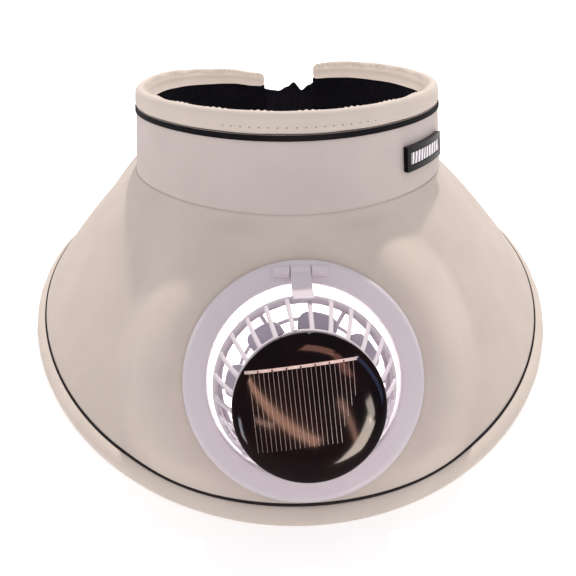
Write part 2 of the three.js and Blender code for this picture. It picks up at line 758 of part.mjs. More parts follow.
add('brim', makeBrim(), CLOTH, 0.9);
add('brim_binding', edgeStrip(rollOutline), '#cfc9c4', 0.9);
add('brim_piping', edgeStrip(edgePipingOutline), BLACK_CLOTH, 0.7);
add('headband', bandStrip(boxOutline(0, BAND_THICKNESS, GAP, BAND_TOP)), CLOTH, 0.9);
add('band_piping', bandStrip(boxOutline(
  BAND_THICKNESS + GAP, BAND_THICKNESS + GAP + PIPING_THICKNESS, PIPING_LOW, BAND_TOP,
)), BLACK_CLOTH, 0.7);
add('top_binding', bandStrip(bindingOutline), '#d6d0ca', 0.9);
add('sweatband', bandStrip(boxOutline(
  -GAP - SWEATBAND_THICKNESS, -GAP, SWEATBAND_LOW, BAND_TOP,
)), BLACK_CLOTH, 0.95);
add('back_elastic', makeElastic(), BLACK_CLOTH, 0.9);
add('badge_frame', makeBadgeFrame(), '#1b1a1f', 0.35);
add('badge_plate', makeBadgePlate(), '#b9b6bd', 0.3, 0.9);
add('fan_ring', makeRing(), WHITE_PLASTIC, 0.4);
add('clamp_ring', makeClamp(), WHITE_PLASTIC, 0.4);
add('fan_arm', makeArm(), WHITE_PLASTIC, 0.4);
add('fan_cage', makeCage(), WHITE_PLASTIC, 0.4);
add('solar_panel', makePanel(), '#0b0b0e', 0.1);
add('motor', makeMotor(), '#b7b7bb', 0.4, 0.8);
add('fan_blades', makeBlades(), '#c3bcc9', 0.4);
add('rear_guard', makeGuard(), WHITE_PLASTIC, 0.4);

// The origin is the middle of the bottom of the whole visor
const part = new THREE.Group();
part.name = 'solar_fan_visor';
part.add(...meshes);
part.updateMatrixWorld(true);
const box = new THREE.Box3().setFromObject(part);
const centre = box.getCenter(new THREE.Vector3());
for (const mesh of meshes) {
  mesh.geometry.translate(-centre.x, -centre.y, -box.min.z);
}

export default part;
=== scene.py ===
"""Looks of the open-top sun visor with a fan in its brim and a round solar panel.

Lengths in the functions are millimetres in the visor's own frame, as in the solids.
mesh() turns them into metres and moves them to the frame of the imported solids.
"""
import bmesh
import bpy
import math
from mathutils import Matrix, Vector


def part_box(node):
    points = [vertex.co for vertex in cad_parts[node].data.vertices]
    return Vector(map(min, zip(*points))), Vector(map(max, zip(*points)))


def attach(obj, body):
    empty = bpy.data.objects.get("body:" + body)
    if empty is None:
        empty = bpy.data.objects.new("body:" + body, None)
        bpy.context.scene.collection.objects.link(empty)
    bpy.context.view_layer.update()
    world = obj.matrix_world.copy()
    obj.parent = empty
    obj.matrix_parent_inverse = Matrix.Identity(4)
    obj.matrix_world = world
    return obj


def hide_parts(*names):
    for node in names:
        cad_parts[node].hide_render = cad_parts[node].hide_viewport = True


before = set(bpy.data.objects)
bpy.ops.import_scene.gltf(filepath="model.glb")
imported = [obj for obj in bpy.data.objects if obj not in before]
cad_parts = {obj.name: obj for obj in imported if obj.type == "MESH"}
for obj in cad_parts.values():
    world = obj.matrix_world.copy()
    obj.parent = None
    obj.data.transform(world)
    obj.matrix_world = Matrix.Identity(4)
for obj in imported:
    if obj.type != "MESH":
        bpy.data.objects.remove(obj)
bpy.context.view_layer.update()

# Headband
BAND_HALF_WIDTH = 80.7
BAND_FRONT_DEPTH = 102.7
BAND_BACK_DEPTH = 98.6
BAND_FRONT_PINCH = 0.07
BAND_BACK_PINCH = -0.083
BAND_TAPER = 0.098
BAND_TILT = math.radians(-14.7)
BAND_CENTRE_HEIGHT = 72.3
BAND_THICKNESS = 2
BAND_TOP = 33.4
PIPING_LOW = 31
BINDING_TOP = 42.4
BINDING_OUT = 0.6
LEFT_END = -172.5
RIGHT_END = 165
GAP = 0.3
# Angle, and how far the band's top sags there as a share of its height
SAG = [
    (-172.5, 0.184), (-166, 0.158), (-159, 0.101), (-151, 0.075), (-138, 0.042), (-128, 0.019),
    (-116, 0), (148, 0), (156, 0.017), (165, 0.057),
]

# Brim; the rows of REACH are an angle from the front and a share of BRIM_REACH
BRIM_REACH = 86.5
REACH = [(0, 1), (45, 0.898), (90, 0.747), (120, 0.551), (142.2, 0.126)]
BRIM_END = 142.2
BRIM_THICKNESS = 2.4
BRIM_RISE_START = 101
BRIM_RISE_POWER = 1.457
BRIM_BOW = 0.05
BOW_START, BOW_RANGE = 70, 40
ROLL_WIDTH = 8.2
ROLL_WIDTH_END = 3.4
NARROW_START, NARROW_RANGE = 95, 45

# Fan ring and fan
RING_RISE = 61
RING_OUTER = 50.6
RING_OPENING = 40.6
RING_THICKNESS = 3
HOLE_RADIUS = 42.7
FLAT_RADIUS = 56
FLAT_BLEND = 30
FLAT_FROM = 0.08
FLAT_TO = 0.84
HINGE_UP = RING_OPENING + 5
HINGE_HEIGHT = 3
KNUCKLE_RADIUS = 2.6
HINGE_WIDTH = 23
ARM_WIDTH = 8.4
FAN_LEAN = math.radians(-10)
FAN_REACH = HINGE_UP + 0.8
RIM_HEIGHT = 15.2
RIM_RADIUS = 37.8
RIM_WALL = 2.2
RIM_LOW = -3.7
RIM_HIGH = 1.2
RIB_COUNT = 26
RIB_FIRST = 3.9
# Share of the way in from the rim to the seat, and of the way up to the seat
RIB_PATH = [(0, 0.02), (0.02, 0.13), (0.12, 0.24), (0.31, 0.43), (0.56, 0.65), (0.8, 0.85), (1, 0.97)]
RIB_HALF = 0.75
SEAT_TOP = 25
SEAT_THICKNESS = 2.4
PANEL_RADIUS = 28.8
SEAT_RADIUS = PANEL_RADIUS + 0.2
BLADE_COUNT = 8
BLADE_FIRST = 11
BLADE_HEIGHT = 6.8
HUB_RADIUS = 8.5
HUB_LOW = 3
HUB_HIGH = 11.6


def smooth(t):
    """Eased step from 0 to 1."""
    t = min(max(t, 0), 1)
    return t * t * (3 - 2 * t)


def mix(a, b, t):
    return a + (b - a) * t


def look_up(table, x):
    """Straight-line value of a table of (x, value) rows."""
    if x <= table[0][0]:
        return table[0][1]
    for (x0, y0), (x1, y1) in zip(table, table[1:]):
        if x <= x1:
            return mix(y0, y1, (x - x0) / (x1 - x0))
    return table[-1][1]


def steps(start, end, count):
    return [mix(start, end, i / count) for i in range(count + 1)]


def band_point(angle, height, out):
    """Point on the band: degrees from the front, height up its side, distance outside its oval."""
    a = math.radians(angle)
    sin, cos = math.sin(a), math.cos(a)
    back = cos < 0
    pinch = BAND_BACK_PINCH if back else BAND_FRONT_PINCH
    grow = out - BAND_TAPER * height
    depth = (BAND_BACK_DEPTH if back else BAND_FRONT_DEPTH) + grow
    x = (BAND_HALF_WIDTH + grow) * sin * (1 - pinch * cos * cos)
    y = -depth * cos * (1 - pinch * sin * sin)
    c, s = math.cos(BAND_TILT), math.sin(BAND_TILT)
    return Vector((x, y * c - height * s, y * s + height * c + BAND_CENTRE_HEIGHT))


def sagged(angle, height):
    return height * (1 - look_up(SAG, angle))


def reach(angle):
    """Horizontal reach of the brim: an even polynomial through the rows of REACH."""
    x = angle * angle
    total = 0
    for a0, value in REACH:
        for a1, _ in REACH:
            if a1 != a0:
                value *= (x - a1 * a1) / (a0 * a0 - a1 * a1)
        total += value
    return total * BRIM_REACH


def seam_point(angle):
    """Where the brim meets the band."""
    return band_point(angle, 0, BAND_THICKNESS + GAP)


def edge_point(angle):
    """Outer edge of the brim, which climbs towards its rear ends."""
    a = math.radians(angle)
    inner = band_point(angle, 0, 0)
    along = Vector((BAND_FRONT_DEPTH * math.sin(a), -BAND_HALF_WIDTH * math.cos(a))).normalized()
    t = (abs(angle) - BRIM_RISE_START) / (BRIM_END - BRIM_RISE_START)
    rise = smooth(t) ** BRIM_RISE_POWER
    return Vector((inner.x + reach(angle) * along.x, inner.y + reach(angle) * along.y, inner.z * rise))


# Frame of the ring: X across, Y up the brim, Z out of it; and the fan's frame, leant about the hinge
up_brim = (seam_point(0) - edge_point(0)).normalized()
out_of_brim = Vector((1, 0, 0)).cross(up_brim)
ring_centre = edge_point(0) + up_brim * RING_RISE
ring_turn = Matrix((Vector((1, 0, 0)), up_brim, out_of_brim)).transposed().to_4x4()
ring_frame = Matrix.Translation(ring_centre) @ ring_turn
to_ring = ring_frame.inverted()
fan_frame = (
    ring_frame @ Matrix.Translation((0, HINGE_UP, HINGE_HEIGHT))
    @ Matrix.Rotation(-FAN_LEAN, 4, "X") @ Matrix.Translation((0, -FAN_REACH, RIM_HEIGHT - HINGE_HEIGHT))
)

# The solids were moved so that the origin is under the middle of the whole visor
SHIFT = Vector((0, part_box("headband")[0][1] * 1000 - band_point(0, GAP, BAND_THICKNESS).y, 0))


def brim_point(angle, t):
    """Upper surface of the brim, t from 0 at the band to 1 at the edge, flat around the ring."""
    seam, edge = seam_point(angle), edge_point(angle)
    point = seam.lerp(edge, t)
    bow = BRIM_BOW * (seam - edge).length * smooth((abs(angle) - BOW_START) / BOW_RANGE)
    point.z += bow * 4 * t * (1 - t)
    local = to_ring @ point
    free = smooth((math.hypot(local.x, local.y) - FLAT_RADIUS) / FLAT_BLEND)
    press = (1 - free) * smooth(t / FLAT_FROM) * (1 - smooth((t - FLAT_TO) / (1 - FLAT_TO)))
    local.z *= 1 - press
    return ring_frame @ local


def brim_normal(angle, t):
    turn, share = 0.5, 0.01
    low, high = max(angle - turn, -BRIM_END), min(angle + turn, BRIM_END)
    side = brim_point(high, t) - brim_point(low, t)
    down = brim_point(angle, min(t + share, 1)) - brim_point(angle, max(t - share, 0))
    return down.cross(side).normalized()


def edge_fraction(angle, distance):
    """The brim's t at a distance in from its edge."""
    return 1 - distance / (seam_point(angle) - edge_point(angle)).length


def roll_width(angle):
    return mix(ROLL_WIDTH, ROLL_WIDTH_END, smooth((abs(angle) - NARROW_START) / NARROW_RANGE))


# Materials

def linear(red, green, blue):
    """Scene colour from the 0 to 255 values of a screen colour."""
    def one(v):
        v /= 255
        return v / 12.92 if v <= 0.04045 else ((v + 0.055) / 1.055) ** 2.4
    return (one(red), one(green), one(blue), 1)


GRAIN_DETAIL = 4
MOTTLE_DETAIL = 3


def material(name, colour, roughness, metallic=0.0, sheen=0.0, specular=0.5):
    m = bpy.data.materials.new(name)
    m.use_nodes = True
    shader = m.node_tree.nodes["Principled BSDF"]
    shader.inputs["Base Color"].default_value = colour
    shader.inputs["Roughness"].default_value = roughness
    shader.inputs["Metallic"].default_value = metallic
    shader.inputs["Sheen Weight"].default_value = sheen
    shader.inputs["Specular IOR Level"].default_value = specular
    return m


def grain(m, scale, strength, distance=0.0002):
    """Fine bump from noise, as in cloth or moulded plastic."""
    nodes, links = m.node_tree.nodes, m.node_tree.links
    place = nodes.new("ShaderNodeTexCoord")
    noise = nodes.new("ShaderNodeTexNoise")
    bump = nodes.new("ShaderNodeBump")
    noise.inputs["Scale"].default_value = scale
    noise.inputs["Detail"].default_value = GRAIN_DETAIL
    bump.inputs["Strength"].default_value = strength
    bump.inputs["Distance"].default_value = distance
    links.new(place.outputs["Object"], noise.inputs["Vector"])
    links.new(noise.outputs["Fac"], bump.inputs["Height"])
    links.new(bump.outputs["Normal"], nodes["Principled BSDF"].inputs["Normal"])
    return m


def mottle(m, dark, light, scale, spread=0.25, texture="ShaderNodeTexNoise", distortion=0.0):
    """Colour that drifts between two tones."""
    nodes, links = m.node_tree.nodes, m.node_tree.links
    place = nodes.new("ShaderNodeTexCoord")
    pattern = nodes.new(texture)
    ramp = nodes.new("ShaderNodeValToRGB")
    pattern.inputs["Scale"].default_value = scale
    pattern.inputs["Detail"].default_value = MOTTLE_DETAIL
    pattern.inputs["Distortion"].default_value = distortion
    ramp.color_ramp.elements[0].position = 0.5 - spread
    ramp.color_ramp.elements[1].position = 0.5 + spread
    ramp.color_ramp.elements[0].color = dark
    ramp.color_ramp.elements[1].color = light
    links.new(place.outputs["Object"], pattern.inputs["Vector"])
    links.new(pattern.outputs["Fac"], ramp.inputs["Fac"])
    links.new(ramp.outputs["Color"], nodes["Principled BSDF"].inputs["Base Color"])
    return m


def shade(colour, factor):
    """The colour made darker or lighter."""
    return tuple(v * factor for v in colour[:3]) + (1,)


def cloth(name, colour, bump=0.25):
    m = material(name, colour, 0.9, sheen=0.08, specular=0.08)
    mottle(m, shade(colour, 0.96), shade(colour, 1.03), 45, 0.2)
    return grain(m, 1500, bump)


def black(name, colour, roughness, scale, bump, distance=0.0002):
    m = material(name, colour, roughness, specular=0.06)
    mottle(m, shade(colour, 0.7), shade(colour, 1.3), 260, 0.2)
    return grain(m, scale, bump, distance)


def plastic(name, colour, roughness=0.5):
    m = material(name, colour, roughness, specular=0.14)
    mottle(m, shade(colour, 0.98), shade(colour, 1.01), 60, 0.2)
    return grain(m, 600, 0.05, 0.0001)


brim_cloth = cloth("brim_cloth", linear(201, 189, 181))
band_cloth = cloth("band_cloth", linear(200, 188, 184))
roll_cloth = cloth("roll_cloth", linear(210, 198, 189), 0.2)
black_ribbon = black("black_ribbon", linear(13, 12, 17), 0.7, 2500, 0.4)
dark_cord = black("dark_cord", linear(36, 32, 35), 0.8, 2500, 0.4)
black_towel = black("black_towel", linear(10, 9, 16), 0.95, 900, 0.9, 0.0006)
black_elastic = black("black_elastic", linear(12, 11, 18), 0.7, 1500, 0.5)
white_plastic = plastic("white_plastic", linear(208, 199, 207))
badge_black = black("badge_black", linear(15, 14, 18), 0.3, 700, 0.1)
motor_metal = grain(material("motor_metal", linear(150, 150, 155), 0.35, metallic=0.9), 300, 0.1)
mottle(motor_metal, linear(135, 135, 140), linear(165, 165, 170), 80)
# The plate's wavy dark and light bands are partly painted highlights and painted shade that make it look
# ridged, and partly the darker marks of its pattern
badge_silver = grain(material("badge_silver", linear(206, 200, 208), 0.4, metallic=0.3), 900, 0.2)
mottle(badge_silver, linear(95, 88, 96), linear(240, 235, 242), 170, 0.4, "ShaderNodeTexWave", 3.0)
resin = material("resin", linear(12, 6, 8), 0.08, specular=0.06)
mottle(resin, linear(3, 3, 8), linear(30, 9, 10), 62, 0.28)
silver_line = material("silver_line", linear(120, 100, 98), 0.35)
mottle(silver_line, linear(72, 66, 70), linear(112, 103, 108), 90)
silver_bar = material("silver_bar", linear(205, 180, 178), 0.35)
mottle(silver_bar, linear(180, 152, 148), linear(222, 200, 198), 300)
blade_plastic = plastic("blade_plastic", linear(180, 172, 186), 0.4)
thread = material("thread", linear(120, 108, 108), 0.9)
mottle(thread, linear(105, 95, 95), linear(135, 122, 120), 400)
mark_black = material("mark_black", linear(35, 33, 38), 0.6)
mottle(mark_black, linear(25, 24, 28), linear(45, 42, 47), 300)


# Meshes. Edges sharper than these degrees stay sharp in the shading
PLASTIC_EDGE = 40
CLOTH_EDGE = 50
ROUND_EDGE = 60


def mesh(name, points, faces, finish, angle=None):
    """New object from points in millimetres; angle keeps edges sharper than that many degrees."""
    data = bpy.data.meshes.new(name)
    data.from_pydata([((p + SHIFT) / 1000)[:] for p in points], [], faces)
    data.materials.append(finish)
    piece = bpy.data.objects.new(name, data)
    bpy.context.scene.collection.objects.link(piece)
    for polygon in data.polygons:
        polygon.use_smooth = True
    if angle is not None:
        data.set_sharp_from_angle(angle=math.radians(angle))
    return piece


def place(points, where):
    return [where @ Vector(p) for p in points]


def loft(rings):
    """Points and faces of a solid through a row of closed rings, with a cap at each end."""
    n = len(rings[0])
    rows = len(rings)
    points = [p for ring in rings for p in ring]
    faces = []
    for i in range(rows - 1):
        a, b = i * n, (i + 1) * n
        for j in range(n):
            k = (j + 1) % n
            faces.append((a + j, b + j, b + k, a + k))
    faces.append(tuple(range(n)))
    faces.append(tuple(reversed(range((rows - 1) * n, rows * n))))
    return points, faces


def turned(outline, segments):
    """Points and faces of a closed (radius, height) outline turned about Z; radius 0 is on the axis."""
    points, faces, first = [], [], []
    for r, z in outline:
        first.append(len(points))
        if r == 0:
            points.append(Vector((0, 0, z)))
        else:
            for i in range(segments):
                a = 2 * math.pi * i / segments
                points.append(Vector((r * math.cos(a), r * math.sin(a), z)))
    count = len(outline)
    for j in range(count):
        k = (j + 1) % count
        low, high = outline[j][0] == 0, outline[k][0] == 0
        if low and high:
            continue
        for i in range(segments):
            n = (i + 1) % segments
            if low:
                faces.append((first[j], first[k] + n, first[k] + i))
            elif high:
                faces.append((first[j] + i, first[j] + n, first[k]))
            else:
                faces.append((first[j] + i, first[j] + n, first[k] + n, first[k] + i))
    return points, faces


def group(parts):
    """Several (points, faces) lists as one."""
    points, faces = [], []
    for p, f in parts:
        base = len(points)
        points += p
        faces += [tuple(i + base for i in face) for face in f]
    return points, faces


def outward(piece):
    """Turns the faces of a closed piece outwards."""
    work = bmesh.new()
    work.from_mesh(piece.data)
    bmesh.ops.recalc_face_normals(work, faces=work.faces)
    work.to_mesh(piece.data)
    work.free()


def stand_for(piece, body, node):
    """Gives a closed piece its body, and hides the solid that it stands for."""
    outward(piece)
    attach(piece, body)
    if node:
        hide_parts(node)
    return piece


def rounded(points, passes=2):
    """Closed outline with its corners cut, so that it looks round."""
    for _ in range(passes):
        cut = []
        for (x0, y0), (x1, y1) in zip(points, points[1:] + points[:1]):
            cut.append((mix(x0, x1, 0.25), mix(y0, y1, 0.25)))
            cut.append((mix(x0, x1, 0.75), mix(y0, y1, 0.75)))
        points = cut
    return points


# Cloth pieces
BAND_STEPS = 300
CORNER = 0.9


def band_piece(name, outline, finish, node, count=BAND_STEPS, shape=None):
    """Cloth along the band; shape may move the points of a section, given its angle and the point."""
    rings = []
    for angle in steps(LEFT_END, RIGHT_END, count):
        section = [shape(angle, o, h) for o, h in outline] if shape else outline
        rings.append([band_point(angle, sagged(angle, h), o) for o, h in section])
    points, faces = loft(rings)
    return stand_for(mesh(name, points, faces, finish, CLOTH_EDGE), "visor", node)


def box_outline(out0, out1, low, high):
    """Upright box section with softened corners."""
    middle = mix(out0, out1, 0.5)
    return rounded([
        (out0, low), (middle, low), (out1, low), (out1, low + CORNER), (out1, high - CORNER),
        (out1, high), (middle, high), (out0, high), (out0, high - CORNER), (out0, low + CORNER),
    ], 1)


RIBBON_IN = BAND_THICKNESS + 0.05
RIBBON_OUT = BAND_THICKNESS + 0.65
LINING_IN, LINING_OUT, LINING_LOW = -1.8, -0.3, 1
band_piece("band_cloth", box_outline(0, BAND_THICKNESS, GAP, BAND_TOP), band_cloth, "headband")
ribbon_outline = box_outline(RIBBON_IN, RIBBON_OUT, PIPING_LOW, BAND_TOP)
band_piece("band_ribbon", ribbon_outline, black_ribbon, "band_piping")
lining_outline = box_outline(LINING_IN, LINING_OUT, LINING_LOW, BAND_TOP)
band_piece("band_lining", lining_outline, black_towel, "sweatband")

# Padded roll on top of the band: a soft crease on its inner side, puckers along its inner top edge
ROLL_LOW = BAND_TOP + GAP
ROLL_MIDDLE = (ROLL_LOW + BINDING_TOP) / 2
ROLL_FACE = BAND_THICKNESS + BINDING_OUT
ROLL_OUTLINE = rounded([
    (BAND_THICKNESS, ROLL_LOW), (ROLL_FACE, ROLL_MIDDLE - 2.6), (ROLL_FACE, ROLL_MIDDLE),
    (ROLL_FACE, ROLL_MIDDLE + 2.6), (1.7, BINDING_TOP + 0.2), (0, BINDING_TOP + 0.4),
    (-1.9, BINDING_TOP), (-3, ROLL_MIDDLE + 2.6),
    (-2.2, ROLL_MIDDLE + 0.4), (-3.1, ROLL_MIDDLE - 1.4), (-3, ROLL_LOW - 0.8), (-2.1, ROLL_LOW - 1),
    (-1.9, ROLL_LOW), (0, ROLL_LOW),
], 2)
ROLL_STEPS = 1300
END_ANGLE = 2.2
END_SIZE = 0.02
END_POWER = 0.35
PUCKER_WAVES = 78
PUCKER_DRIFT_WAVES = 23
PUCKER_DEPTH = 0.25
SWELL_WAVES = 17
SWELL_DEPTH = 0.012


def roll_shape(angle, out, height):
    """Point of the roll's section, swollen about its middle and drawn in at the two ends."""
    a = math.radians(angle)
    pucker = abs(math.sin(a * PUCKER_WAVES)) * (0.7 + 0.3 * math.sin(a * PUCKER_DRIFT_WAVES))
    inner_top = smooth((-0.2 - out) / 1.5) * smooth((height - ROLL_MIDDLE) / 3)
    swell = 1 + SWELL_DEPTH * math.sin(a * SWELL_WAVES) + PUCKER_DEPTH * inner_top * (pucker - 0.5)
    left = min(angle - LEFT_END, RIGHT_END - angle, END_ANGLE) / END_ANGLE
    swell *= max(1 - (1 - left) ** 2, END_SIZE) ** END_POWER
    return out * swell, ROLL_MIDDLE + (height - ROLL_MIDDLE) * swell


top_roll = band_piece("top_roll", ROLL_OUTLINE, roll_cloth, "top_binding", ROLL_STEPS, roll_shape)


STITCH_THICKNESS = 0.12
STITCH_LENGTH = 0.75
STITCH_WIDTH = 0.4
STITCH_HEIGHT = 36.5
STITCH_FROM, STITCH_TO, STITCH_GAPS = -24, 27, 17


def stitch(at, along, out, length, width):
    """Small flat bar with pointed ends that lies on a surface."""
    side = along.cross(out).normalized()
    low = [at + along * (length * x) + side * (width * y) for x, y in
           ((-0.5, 0), (-0.25, -0.5), (0.25, -0.5), (0.5, 0), (0.25, 0.5), (-0.25, 0.5))]
    return loft([low, [p + out * STITCH_THICKNESS for p in low]])


threads = []
for angle in steps(STITCH_FROM, STITCH_TO, STITCH_GAPS):
    at = band_point(angle, STITCH_HEIGHT, ROLL_FACE)
    along = (band_point(angle + 0.5, STITCH_HEIGHT, ROLL_FACE) - at).normalized()
    out = (band_point(angle, STITCH_HEIGHT, ROLL_FACE + 1) - at).normalized()
    threads.append(stitch(at, along, out, STITCH_LENGTH, STITCH_WIDTH))
points, faces = group(threads)
seam = mesh("roll_stitches", points, faces, thread)
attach(seam, "visor")

# Brim: one sheet with thickness, without the faces that lie inside the fan hole
COLUMNS = 300
ROWS = 90
CORD_START = 0.55
CORD_WIDTH = 0.75
SHEET_START = -0.005
HOLE_MARGIN = 1.5
sheet_points, sheet_faces = [], []
for angle in steps(-BRIM_END, BRIM_END, COLUMNS):
    end = edge_fraction(angle, roll_width(angle) + CORD_START + CORD_WIDTH)
    for t in steps(SHEET_START, end, ROWS):
        sheet_points.append(brim_point(angle, t))
inside = [math.hypot(*(to_ring @ p)[:2]) for p in sheet_points]
for i in range(COLUMNS):
    for j in range(ROWS):
        a = i * (ROWS + 1) + j
        quad = (a, a + 1, a + ROWS + 2, a + ROWS + 1)
        if max(inside[k] for k in quad) > HOLE_RADIUS + HOLE_MARGIN:
            sheet_faces.append(quad)
brim = mesh("brim_sheet", sheet_points, sheet_faces, brim_cloth)
thick = brim.modifiers.new("thickness", "SOLIDIFY")
thick.thickness = BRIM_THICKNESS / 1000
thick.offset = -1
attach(brim, "visor")
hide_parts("brim")


EDGE_STEPS = 600
CORD_OVERLAP = 0.4
CORD_LOW = -1.4
CORD_HIGH = 0.35
CORD_DROP = 0.6
TUCK_START, TUCK_RANGE = 94, 12
TUCK_DEPTH = 0.75
# Fuller and flatter places of the padded edge: depth, waves in a turn, phase
EDGE_WAVES = [(0.05, 31, 0), (0.04, 53, 1)]


def edge_piece(name, outline, finish, node):
    """Piece along the brim's edge; outline gives (distance inward, height above the sheet) points."""
    rings = []
    for angle in steps(-BRIM_END, BRIM_END, EDGE_STEPS):
        width = roll_width(angle)
        edge = edge_point(angle)
        fraction = edge_fraction(angle, width)
        start = brim_point(angle, fraction)
        normal = brim_normal(angle, fraction)
        ring = []
        for inward, height in outline(width, angle):
            if inward > width:
                foot = brim_point(angle, edge_fraction(angle, inward))
            else:
                foot = edge.lerp(start, inward / width)
            p = foot + normal * height
            p.z = max(p.z, 0)
            ring.append(p)
        rings.append(ring)
    points, faces = loft(rings)
    return stand_for(mesh(name, points, faces, finish, ROUND_EDGE), "visor", node)


def tucked(angle):
    """1 towards the rear ends, where the roll turns under and the sheet hides it."""
    return smooth((abs(angle) - TUCK_START) / TUCK_RANGE)


def edge_roll(width, angle):
    """Section of the padded edge, a little fuller and flatter from place to place."""
    k = 0.5 + 0.5 * width / ROLL_WIDTH
    a = math.radians(angle)
    fullness = 1 + sum(depth * math.sin(a * waves + phase) for depth, waves, phase in EDGE_WAVES)
    top = k * fullness * (1 - TUCK_DEPTH * tucked(angle))
    return rounded([
        (width + CORD_START, 0.1), (width * 0.88, 1.3 * top), (width * 0.55, 1.8 * top),
        (width * 0.2, 1.2 * top),
        (-0.1, -0.7 * k), (width * 0.05, -2.5 * k), (width * 0.3, -3.7 * k), (width * 0.6, -3.9 * k),
        (width * 0.95, -3.3 * k), (width + CORD_START, -2.2 * k),
    ], 2)


def edge_cord(width, angle):
    """Section of the cord between the roll and the sheet."""
    low = width + CORD_START - CORD_OVERLAP
    high = width + CORD_START + CORD_WIDTH + CORD_OVERLAP
    top = CORD_HIGH - CORD_DROP * tucked(angle)
    return rounded([(low, CORD_LOW), (high, CORD_LOW), (high, top), (low, top)], 2)


edge_piece("edge_roll", edge_roll, roll_cloth, "brim_binding")
edge_piece("edge_cord", edge_cord, dark_cord, "brim_piping")

# Elastic: angle, height of its gathered top edge, how far its folds stand out
ELASTIC = [
    (164.8, 28.6, 0), (167.5, 26.5, 1.4), (170.6, 23.4, -1.2), (174.2, 28.2, 1.6), (177.2, 25.6, -0.6),
    (180.5, 23, 1.2), (184, 23.8, -1), (187.9, 24.8, 0.4),
]
ELASTIC_STEPS = 150
ELASTIC_HALF = 0.65
ELASTIC_MIDDLE = 1
ELASTIC_LOW = 5
ELASTIC_RANGE = 22


def elastic_value(column, angle):
    """Smooth value of a column of the table."""
    for low, high in zip(ELASTIC, ELASTIC[1:]):
        if angle <= high[0]:
            return mix(low[column], high[column], smooth((angle - low[0]) / (high[0] - low[0])))
    return ELASTIC[-1][column]


rings = []
for angle in steps(ELASTIC[0][0], ELASTIC[-1][0], ELASTIC_STEPS):
    ring = []
    for o, h in box_outline(-ELASTIC_HALF, ELASTIC_HALF, ELASTIC_LOW, elastic_value(1, angle)):
        wander = 1.2 * math.sin(h * 0.35)
        ripple = 0.3 * math.sin(angle * 2.6 + h * 0.5)
        fold = elastic_value(2, angle + wander) + ripple
        grow = mix(0.5, 1, (h - ELASTIC_LOW) / ELASTIC_RANGE)
        ring.append(band_point(angle, h, ELASTIC_MIDDLE + o + fold * grow))
    rings.append(ring)
pieces = mesh("gathered_elastic", *loft(rings), black_elastic, CLOTH_EDGE)
stand_for(pieces, "visor", "back_elastic")

# Fan ring: a plate with a collar that goes through the hole
COLLAR_WALL = 1.7
COLLAR_PAST_BRIM = 2.5
RING_SEGMENTS = 180
PIN_RADIUS = 1
PIN_SEGMENTS = 24
FOOT_LOW = 1
ROD_EDGE = 0.35
SLAB_EDGE = 0.3
back = -BRIM_THICKNESS - COLLAR_PAST_BRIM
collar = RING_OPENING + COLLAR_WALL
ring_outline = rounded([
    (RING_OPENING, back), (collar, back), (collar, GAP), (RING_OUTER - 1, GAP), (RING_OUTER, GAP + 0.4),
    (RING_OUTER, GAP + 1.4), (RING_OUTER - 1.2, GAP + RING_THICKNESS), (RING_OUTER - 3, GAP + RING_THICKNESS),
    (RING_OPENING + 2, GAP + RING_THICKNESS), (RING_OPENING + 0.3, GAP + RING_THICKNESS),
    (RING_OPENING, GAP + RING_THICKNESS - 0.4), (RING_OPENING, GAP),
], 1)
points, faces = turned(ring_outline, RING_SEGMENTS)
ring = mesh("ring_plate", place(points, ring_frame), faces, white_plastic, PLASTIC_EDGE)
stand_for(ring, "visor", "fan_ring")


def cylinder_x(radius, x0, x1, y, z, segments=40):
    """Rod along X with softened ends."""
    small = radius - ROD_EDGE
    rings = []
    for x, r in ((x0, small), (x0 + ROD_EDGE, radius), (x1 - ROD_EDGE, radius), (x1, small)):
        turns = [2 * math.pi * i / segments for i in range(segments)]
        rings.append([Vector((x, y + r * math.cos(a), z + r * math.sin(a))) for a in turns])
    return loft(rings)


def slab(outline, x0, x1):
    """(y, z) outline made solid between two X positions, with softened ends."""
    cy = sum(p[0] for p in outline) / len(outline)
    cz = sum(p[1] for p in outline) / len(outline)
    size = max(math.hypot(y - cy, z - cz) for y, z in outline)
    k = 1 - SLAB_EDGE / size
    small = [(cy + (y - cy) * k, cz + (z - cz) * k) for y, z in outline]
    rows = ((x0, small), (x0 + SLAB_EDGE, outline), (x1 - SLAB_EDGE, outline), (x1, small))
    return loft([[Vector((x, y, z)) for y, z in o] for x, o in rows])


half = ARM_WIDTH / 2 + GAP
knuckles = []
for side in (-1, 1):
    x0, x1 = sorted((side * half, side * HINGE_WIDTH / 2))
    knuckles.append(cylinder_x(KNUCKLE_RADIUS, x0, x1, HINGE_UP, HINGE_HEIGHT))
    foot = [
        (HINGE_UP - KNUCKLE_RADIUS, FOOT_LOW), (HINGE_UP + KNUCKLE_RADIUS, FOOT_LOW),
        (HINGE_UP + KNUCKLE_RADIUS, HINGE_HEIGHT), (HINGE_UP - KNUCKLE_RADIUS, HINGE_HEIGHT),
    ]
    knuckles.append(slab(foot, x0, x1))
pin_end = HINGE_WIDTH / 2 - 1
knuckles.append(cylinder_x(PIN_RADIUS, -pin_end, pin_end, HINGE_UP, HINGE_HEIGHT, PIN_SEGMENTS))
points, faces = group(knuckles)
pieces = mesh("hinge_knuckles", place(points, ring_frame), faces, white_plastic, PLASTIC_EDGE)
stand_for(pieces, "visor", None)

# Fan
RIB_HALF_WIDTH = 0.95
RIB_HALF_DEPTH = 0.8
RIB_FLARE = 0.75
RIB_FLARE_ROWS = 3
RIB_SIDES = 12
CAGE_SEGMENTS = 160


def rib_point(inward, rise):
    """Middle line of a rib: radius and height along the fan's axis."""
    return mix(RIM_RADIUS - RIM_WALL / 2, SEAT_RADIUS - RIB_HALF, inward), SEAT_TOP * rise


barrel_z = HINGE_HEIGHT - RIM_HEIGHT
inner = RIM_RADIUS + GAP
tab_r, tab_z = rib_point(0.16, 0.3)
tab_r += RIB_HALF + 2 * GAP
